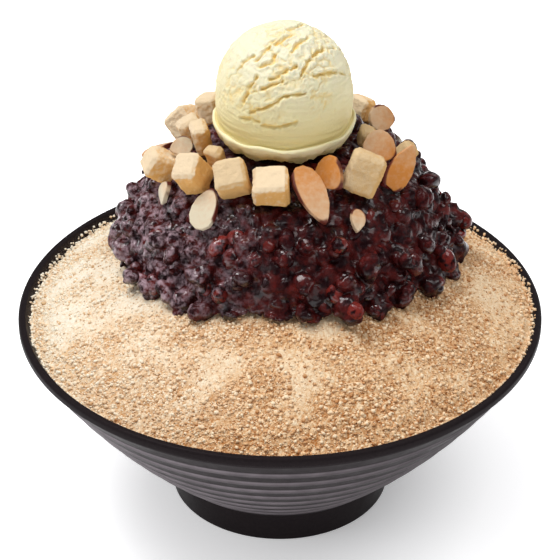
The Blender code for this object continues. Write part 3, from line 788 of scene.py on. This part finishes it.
apply_modifier(paste, "SMOOTH", factor=0.5, iterations=2)


def paste_height(place, normal):
    """The skins and grit of the crushed beans."""
    height = 0.22 * MM * noise.noise(place / (1.3 * MM))
    for size, rise in LUMP_SIZES:
        wandering = place / size + 0.35 * noise.noise_vector(place / (1.6 * size))
        distances, points = noise.voronoi(wandering)
        height += rise * (max(0.0, 1.0 - (distances[0] / 0.8) ** 2) ** 0.5 - 0.72)
    return height


move_by(paste, paste_height)
paste_share = min(1.0, PASTE_TRIANGLES / (2 * len(paste.data.polygons)))
apply_modifier(paste, "DECIMATE", ratio=paste_share)
take(paste)
bpy.ops.object.shade_smooth()

paste_finish, tree, shader = new_finish("red_bean_paste")
blotch = add_range(tree, add_noise(tree, 4.5 * MM, detail=3.0), 0.43, 0.70)
paste_colour = add_mix(tree, blotch, PASTE_DARK, PASTE_RED)
# Painted sheen over the paste's colour on the left flank.
tree.links.new(add_mix(tree, painted_sheen(tree), paste_colour, SHEEN_COLOUR), shader.inputs["Base Color"])
gloss = add_range(tree, add_noise(tree, 3.0 * MM), 0.35, 0.65, 0.24, 0.44)
tree.links.new(gloss, shader.inputs["Roughness"])
shader.inputs["Specular IOR Level"].default_value = 0.08
shader.inputs["Specular Tint"].default_value = SYRUP_GLEAM
wet = add_range(tree, add_noise(tree, WET_PATCH, detail=2.0), 0.46, 0.58, 0.05, 0.9)
tree.links.new(wet, shader.inputs["Coat Weight"])
shader.inputs["Coat Roughness"].default_value = 0.13
shader.inputs["Coat IOR"].default_value = 1.45
add_bump(tree, shader, add_noise(tree, 1.2 * MM, detail=3.0, roughness=0.6), 0.55 * MM)
paste.data.materials.append(paste_finish)
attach(paste, "root")
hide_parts("red_bean_heap")

paste_surface = surface_of(paste)
bean_places = []
bean_tints = []
bean_centres = []
while len(bean_places) < BEAN_COUNT:
    point, normal = heap_place(bean_draw, paste_surface)
    if point is None:
        continue
    size = bean_draw.uniform(*BEAN_SIZE)
    centre = point - normal * bean_draw.uniform(*BEAN_SINK) * size
    if not room_at(centre, 0.42 * size + 0.2 * MM):
        continue
    if centre.z < ice_height(centre.x, centre.y) + 0.2 * size:
        continue
    if any((centre - other).length < 0.5 * size for other in bean_centres):
        continue
    bean_centres.append(centre)
    place = np.array(bean_matrix(centre, normal, size, bean_draw))
    bean_places.append((bean_draw.randrange(len(bean_shapes)), place))
    bean_tints.append(bean_draw.random() ** 1.5)
beans = scatter("whole_red_beans", bean_shapes, bean_places, bean_tints)
apply_modifier(beans, "SUBSURF", levels=1, render_levels=1)


def skin_height(place, normal):
    """Wrinkles in the skin of a boiled bean."""
    return 0.34 * MM * noise.noise(place / (2.3 * MM)) + 0.12 * MM * noise.noise(place / (0.9 * MM))


move_by(beans, skin_height)
take(beans)
bpy.ops.object.shade_smooth()

bean_finish, tree, shader = new_finish("whole_red_beans")
skin_colour = add_mix(tree, add_attribute(tree, "tint"), BEAN_DARK, BEAN_RED)
smeared = add_range(tree, add_noise(tree, 3.6 * MM, detail=2.0), 0.48, 0.58)
smeared_colour = add_mix(tree, smeared, skin_colour, PASTE_DARK)
# Painted sheen over the beans' colour on the left flank.
sheened_colour = add_mix(tree, painted_sheen(tree), smeared_colour, SHEEN_COLOUR)
tree.links.new(sheened_colour, shader.inputs["Base Color"])
gloss = add_range(tree, add_noise(tree, 2.5 * MM), 0.35, 0.65, 0.16, 0.38)
tree.links.new(gloss, shader.inputs["Roughness"])
shader.inputs["Specular IOR Level"].default_value = 0.08
shader.inputs["Specular Tint"].default_value = SYRUP_GLEAM
wet = add_range(tree, add_noise(tree, WET_PATCH, detail=2.0), 0.44, 0.56, 0.08, 1.0)
tree.links.new(wet, shader.inputs["Coat Weight"])
shader.inputs["Coat Roughness"].default_value = 0.07
add_bump(tree, shader, add_noise(tree, 1.1 * MM, detail=3.0, roughness=0.6), 0.36 * MM)
beans.data.materials.append(bean_finish)
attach(beans, "root")

# The scoop of ice cream: one ball rolled with a disher, whose cup left the crown torn in slanting creases,
# the flanks wiped smooth, and a pressed collar of softer, yellower ice cream round the foot.
SCOOP_CENTRE = Vector((1.5 * MM, 12.0 * MM, 159.2 * MM))
SCOOP_RADIUS = 24.2 * MM
COLLAR_RADIUS = 25.3 * MM
COLLAR_TOP = -10.6 * MM
COLLAR_BOTTOM = -17.0 * MM
SCOOP_BASE = -20.0 * MM
SCOOP_FLANK_DRAW = 0.3
SCOOP_SIDES = 104
SCOOP_RINGS = 34
CREASE_WIDTH = 0.62 * MM
CREASE_DEPTH = 1.15 * MM
CREASE_LIP = 0.34 * MM
CREASES = (
    ((238, 70), (243, 62), (253, 55)),
    ((259, 67), (268, 64), (274, 62), (274, 55)),
    ((302, 74), (306, 68), (311, 58), (317, 53), (323, 49), (341, 51)),
    ((242, 101), (247, 93), (250, 85), (256, 77)),
    ((251, 113), (260, 110), (268, 107), (278, 102), (284, 96), (304, 95)),
    ((270, 80), (278, 76), (289, 69)),
    ((291, 70), (297, 65)),
    ((288, 29), (296, 27), (303, 24)),
    ((315, 75), (324, 74), (333, 72), (344, 74)),
    ((262, 90), (272, 84), (282, 82)),
    ((256, 60), (264, 52), (270, 46)),
    ((293, 50), (300, 42), (308, 38)),
    ((276, 44), (284, 38), (292, 34)),
    ((240, 118), (250, 119), (258, 122)),
    ((262, 126), (280, 127), (296, 122)),
)
TEARS = ((3.0 * MM, 0.60 * MM), (1.35 * MM, 0.36 * MM))
TEAR_STRETCH = 2.4
ICE_CREAM_TOP = (0.80, 0.76, 0.56, 1.0)
ICE_CREAM_FOOT = (0.75, 0.635, 0.30, 1.0)
ICE_CREAM_COLLAR = (0.96, 0.88, 0.56, 1.0)
ICE_CREAM_SHADE = (0.84, 0.62, 0.23, 1.0)


def on_ball(pixel):
    """The point of the ball at a pixel of the photograph's 560 x 560 frame, from the ball's middle."""
    right = (pixel[0] - FRAME_PIXELS / 2) / FOCAL_PIXELS
    up = (FRAME_PIXELS / 2 - pixel[1]) / FOCAL_PIXELS
    ray = (-view_back + right * view_right + up * view_up).normalized()
    to_centre = SCOOP_CENTRE - view_point
    along = to_centre.dot(ray)
    miss = to_centre.length_squared - along * along
    entry = along - math.sqrt(max(SCOOP_RADIUS ** 2 - miss, 0.0))
    return view_point + entry * ray - SCOOP_CENTRE


scoop_outline = [
    (9.0 * MM, SCOOP_BASE),
    (16.0 * MM, SCOOP_BASE),
    (COLLAR_RADIUS - 4.2 * MM, COLLAR_BOTTOM - 0.4 * MM),
    (COLLAR_RADIUS - 2.5 * MM, COLLAR_BOTTOM + 0.7 * MM),
    (COLLAR_RADIUS - 1.4 * MM, COLLAR_BOTTOM + 2.2 * MM),
    (COLLAR_RADIUS - 0.7 * MM, COLLAR_BOTTOM + 3.7 * MM),
    (COLLAR_RADIUS - 0.1 * MM, COLLAR_TOP - 1.4 * MM),
    (COLLAR_RADIUS + 0.2 * MM, COLLAR_TOP - 0.5 * MM),
    (COLLAR_RADIUS - 0.1 * MM, COLLAR_TOP + 0.2 * MM),
    (COLLAR_RADIUS - 0.7 * MM, COLLAR_TOP + 0.3 * MM),
    (COLLAR_RADIUS - 1.3 * MM, COLLAR_TOP - 0.5 * MM),
    (COLLAR_RADIUS - 1.8 * MM, COLLAR_TOP - 0.3 * MM),
]
scoop_start = math.asin((COLLAR_TOP + 0.5 * MM) / SCOOP_RADIUS)
for ring in range(SCOOP_RINGS):
    lift = scoop_start + (math.pi / 2 - scoop_start) * ring / SCOOP_RINGS
    reach = SCOOP_RADIUS * math.cos(lift)
    if lift < 0.0:
        reach = SCOOP_RADIUS - SCOOP_FLANK_DRAW * (SCOOP_RADIUS - reach)
    scoop_outline.append((reach, SCOOP_RADIUS * math.sin(lift)))
scoop_outline.append((0.3 * MM, SCOOP_RADIUS))
scoop = turn_on_lathe("ice_cream_scoop_torn", scoop_outline, SCOOP_SIDES)
apply_modifier(scoop, "SUBSURF", levels=2, render_levels=2)

creases = [[on_ball(pixel) for pixel in crease] for crease in CREASES]
segments = [pair for crease in creases for pair in zip(crease, crease[1:])]
places = np.array([tuple(vert.co) for vert in scoop.data.vertices])
fray = [1.0 + 0.9 * noise.noise(vert.co / (1.5 * MM)) for vert in scoop.data.vertices]
stray = [0.55 * MM * noise.noise_vector(vert.co / (2.4 * MM)) for vert in scoop.data.vertices]
frayed = places + np.array([tuple(offset) for offset in stray])
crease_gap = np.full(len(places), 1.0)
for start, end in segments:
    run = np.array(end - start)
    share = np.clip((frayed - np.array(start)) @ run / (run @ run), 0.0, 1.0)
    away = np.linalg.norm(frayed - np.array(start) - share[:, None] * run, axis=1)
    crease_gap = np.minimum(crease_gap, away)
crease_gap = crease_gap / (CREASE_WIDTH * np.array(fray))
carved = np.exp(-(crease_gap ** 2))
lipped = np.exp(-(((crease_gap - 2.0) / 0.8) ** 2))

tear_axis = (view_right * 0.80 + view_up * 0.60).normalized()
tear_across = tear_axis.cross(view_back).normalized()


def tear_depth(place, width):
    """Ragged ridges along the way the disher was drawn: 1 in the sharp bottom of a tear and 0 on top."""
    bent = place + 0.5 * width * noise.noise_vector(place / (0.8 * width))
    along = bent.dot(tear_axis) / (TEAR_STRETCH * width)
    across = bent.dot(tear_across) / width
    depth_wise = bent.dot(view_back) / (1.6 * width)
    ridge = 1.0 - 2.2 * abs(noise.noise(Vector((along, across, depth_wise))))
    return max(0.0, ridge) ** 2.5


scoop.data.attributes.new("crease", "FLOAT", "POINT")
scoop.data.attributes.new("collar", "FLOAT", "POINT")
crease_values = scoop.data.attributes["crease"].data
collar_values = scoop.data.attributes["collar"].data
normals = [vert.normal.copy() for vert in scoop.data.vertices]
for index, (vert, normal, cut, lip) in enumerate(zip(scoop.data.vertices, normals, carved, lipped)):
    place = vert.co.copy()
    on_ball_part = min(1.0, max(0.0, (place.z - COLLAR_TOP - 0.6 * MM) / (1.5 * MM)))
    lift = place.z / SCOOP_RADIUS
    patchy = min(1.0, max(0.25, 0.75 + 1.6 * noise.noise(place / (12.0 * MM))))
    torn = min(1.0, max(0.0, (lift + 0.18) / 0.35)) * patchy
    tears = [tear_depth(place, width) for width, depth in TEARS]
    move = -torn * sum(tear * depth for tear, (width, depth) in zip(tears, TEARS))
    move += on_ball_part * (CREASE_LIP * lip - CREASE_DEPTH * cut)
    slant = place.z / (0.9 * MM) + 2.0 * place.x / (20.0 * MM)
    drag = Vector((place.x / (8.0 * MM), place.y / (8.0 * MM), slant))
    move += 0.40 * MM * noise.noise(drag) * (1.0 - 0.7 * torn) * (0.5 + 0.5 * on_ball_part)
    move += 0.13 * MM * noise.noise(place / (0.9 * MM)) * (0.25 + 0.75 * torn)
    move += 0.30 * MM * noise.noise(place / (6.0 * MM))
    near_lip = max(0.0, 1.0 - abs(place.z - COLLAR_TOP) / (3.0 * MM))
    outer = min(1.0, max(0.0, (place.xy.length - COLLAR_RADIUS + 1.6 * MM) / (0.9 * MM)))
    collar_values[index].value = outer * min(1.0, max(0.0, (COLLAR_TOP + 1.5 * MM - place.z) / (1.0 * MM)))
    place.z += 1.0 * MM * noise.noise(place / (10.0 * MM)) * near_lip
    if place.z < COLLAR_TOP:
        around = Vector((place.x, place.y, 0.0))
        ragged = 1.5 * noise.noise(around / (8.0 * MM)) + 0.6 * noise.noise(around / (2.3 * MM))
        low = min(1.0, max(0.0, (COLLAR_TOP - place.z) / (COLLAR_TOP - COLLAR_BOTTOM)))
        place.z += 1.3 * MM * ragged * low ** 2
        move += (0.7 * MM * noise.noise(place / (2.2 * MM)) - 0.3 * MM * tears[1]) * low
    vert.co = place + normal * move + SCOOP_CENTRE
    torn_share = torn * (0.55 * tears[0] + 0.35 * tears[1])
    crease_values[index].value = min(1.0, 0.95 * cut * on_ball_part + torn_share)
take(scoop)
bpy.ops.object.shade_smooth()

ice_cream, tree, shader = new_finish("vanilla_ice_cream")
crease_share = add_range(tree, add_attribute(tree, "crease"), 0.15, 1.0)
position = tree.nodes.new("ShaderNodeTexCoord")
split = tree.nodes.new("ShaderNodeSeparateXYZ")
tree.links.new(position.outputs["Object"], split.inputs["Vector"])
# The ball is painted paler at the top and darker and yellower towards the foot: painted light from above.
shaded_yellower_below = add_range(tree, split.outputs["Z"], SCOOP_CENTRE.z + 18.0 * MM, SCOOP_CENTRE.z - 8.0 * MM)
ball_colour = add_mix(tree, shaded_yellower_below, ICE_CREAM_TOP, ICE_CREAM_FOOT)
# The collar is painted a brighter cream than the ball: partly its own softer ice cream, partly a painted
# highlight on the lip that catches the light.
ball_colour = add_mix(tree, add_attribute(tree, "collar"), ball_colour, ICE_CREAM_COLLAR)
tree.links.new(add_mix(tree, crease_share, ball_colour, ICE_CREAM_SHADE), shader.inputs["Base Color"])
shader.inputs["Roughness"].default_value = 0.5
shader.inputs["Specular IOR Level"].default_value = 0.2
shader.inputs["Subsurface Weight"].default_value = 0.15
shader.inputs["Subsurface Radius"].default_value = (1.0, 0.7, 0.35)
shader.inputs["Subsurface Scale"].default_value = 1.2 * MM
add_bump(tree, shader, add_noise(tree, 0.6 * MM, detail=3.0, roughness=0.65), 0.22 * MM)
scoop.data.materials.append(ice_cream)
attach(scoop, "root")
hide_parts("ice_cream_scoop")

# The rice cakes: soft cubes cut with a knife and rolled in the powder. Faces turned up and to the upper left
# are pale and the
# others golden: partly the powder lying on top, partly painted light from the upper left. A few of them are
# toasted to a tan.
CAKE_VOXEL = 0.34 * MM
CAKE_LIGHT = (0.80, 0.64, 0.44, 1.0)
CAKE_GOLD = (0.76, 0.41, 0.125, 1.0)
CAKE_TAN = (0.60, 0.40, 0.18, 1.0)
CAKE_TAN_SHARES = {3: 0.45, 5: 0.6, 8: 0.6, 10: 0.7, 12: 0.7}
CAKE_POWDER_AND_LIGHT_WAY = (-0.57, -0.25, 0.78)

cake_finish, tree, shader = new_finish("powdered_rice_cake")
# Pale where a face turns towards the upper left and golden elsewhere: partly powder on top, partly painted
# light.
geometry = tree.nodes.new("ShaderNodeNewGeometry")
facing = tree.nodes.new("ShaderNodeVectorMath")
facing.operation = "DOT_PRODUCT"
tree.links.new(geometry.outputs["Normal"], facing.inputs[0])
facing.inputs[1].default_value = CAKE_POWDER_AND_LIGHT_WAY
painted_light_mottle = add_range(tree, add_noise(tree, 2.2 * MM, detail=4.0, roughness=0.7), 0.35, 0.65, -0.16, 0.16)
cake_colour = add_ramp(
    tree, add_math(tree, "ADD", facing.outputs["Value"], painted_light_mottle), ((0.0, CAKE_GOLD), (0.62, CAKE_LIGHT))
)
cake_colour = add_mix(tree, add_attribute(tree, "tan"), cake_colour, CAKE_TAN)
tree.links.new(cake_colour, shader.inputs["Base Color"])
shader.inputs["Roughness"].default_value = 0.85
shader.inputs["Specular IOR Level"].default_value = 0.20
add_bump(tree, shader, add_noise(tree, 0.55 * MM, detail=3.0, roughness=0.65), 0.32 * MM)


def cake_height(place, normal):
    """Uneven cut faces, soft dents and a grain of powder."""
    dents = 0.38 * MM * noise.noise(place / (4.6 * MM)) + 0.22 * MM * noise.noise(place / (1.9 * MM))
    return dents + 0.13 * MM * noise.noise(place / (0.8 * MM))


cake_nodes = sorted(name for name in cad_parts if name.startswith("rice_cake"))
for number, node in enumerate(cake_nodes, start=1):
    cake = copy_of_node(node, node + "_soft")
    apply_modifier(cake, "REMESH", mode="VOXEL", voxel_size=CAKE_VOXEL)
    apply_modifier(cake, "SMOOTH", factor=0.5, iterations=1)
    move_by(cake, cake_height)
    tan_share = cake.data.attributes.new("tan", "FLOAT", "POINT")
    tan_share.data.foreach_set("value", [CAKE_TAN_SHARES.get(number, 0.1)] * len(cake.data.vertices))
    take(cake)
    bpy.ops.object.shade_smooth()
    cake.data.materials.append(cake_finish)
    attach(cake, "root")
    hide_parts(node)

# The almond slices: whole almonds cut lengthways and toasted. The cut faces run from cream to orange-tan, and
# the brown skin is left along a part of each rim.
ALMOND_VOXEL = 0.26 * MM
ALMOND_CREAM = (0.66, 0.575, 0.42, 1.0)
ALMOND_TOASTED = (0.57, 0.215, 0.042, 1.0)
ALMOND_SKIN = (0.105, 0.018, 0.010, 1.0)
SKIN_SIDES = {
    1: (0.72, 215),
    2: (1.00, 340),
    3: (0.05, 25),
    4: (0.05, 30),
    5: (0.20, 50),
    6: (0.72, 310),
    7: (0.95, 190),
    8: (0.60, 45),
    9: (0.45, 60),
}

almond_finish, tree, shader = new_finish("toasted_almond")
toast = add_attribute(tree, "toast")
streak = add_range(tree, add_noise(tree, 1.6 * MM, detail=2.0), 0.3, 0.7, -0.12, 0.12)
almond_colour = add_mix(tree, add_math(tree, "ADD", toast, streak), ALMOND_CREAM, ALMOND_TOASTED)
almond_colour = add_mix(tree, add_attribute(tree, "skin"), almond_colour, ALMOND_SKIN)
tree.links.new(almond_colour, shader.inputs["Base Color"])
shader.inputs["Roughness"].default_value = 0.5
shader.inputs["Specular IOR Level"].default_value = 0.25
add_bump(tree, shader, add_noise(tree, 0.6 * MM, detail=2.0), 0.06 * MM)

almond_draw = random.Random(5)
almond_nodes = sorted(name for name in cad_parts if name.startswith("almond_slice"))
for number, node in enumerate(almond_nodes, start=1):
    almond = copy_of_node(node, node + "_toasted")
    apply_modifier(almond, "REMESH", mode="VOXEL", voxel_size=ALMOND_VOXEL)
    apply_modifier(almond, "SMOOTH", factor=0.5, iterations=3)
    mesh = almond.data
    places = np.array([tuple(vert.co) for vert in mesh.vertices])
    middle = places.mean(axis=0)
    spread, axes = np.linalg.eigh(np.cov((places - middle).T))
    across = (places - middle) @ axes[:, 1]
    along = (places - middle) @ axes[:, 2]
    reach = np.hypot(across / np.abs(across).max(), along / np.abs(along).max())
    toasting, skin_angle = SKIN_SIDES.get(number, (almond_draw.random(), almond_draw.uniform(0, 360)))
    bearing = math.radians(skin_angle)
    skin_way = np.array(view_right * math.cos(bearing) + view_up * math.sin(bearing))
    towards = (places - middle) @ skin_way
    towards /= np.abs(towards).max()
    rim = np.clip((reach - 0.86) / 0.07, 0.0, 1.0)
    on_skin = rim * np.clip((towards - 0.05) / 0.15, 0.0, 1.0)
    toasted = np.clip(toasting + 0.25 * (along / np.abs(along).max()), 0.0, 1.0)
    for name, values in (("skin", on_skin), ("toast", toasted)):
        stored = mesh.attributes.new(name, "FLOAT", "POINT")
        stored.data.foreach_set("value", values)
    take(almond)
    bpy.ops.object.shade_smooth()
    mesh.materials.append(almond_finish)
    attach(almond, "root")
    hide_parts(node)
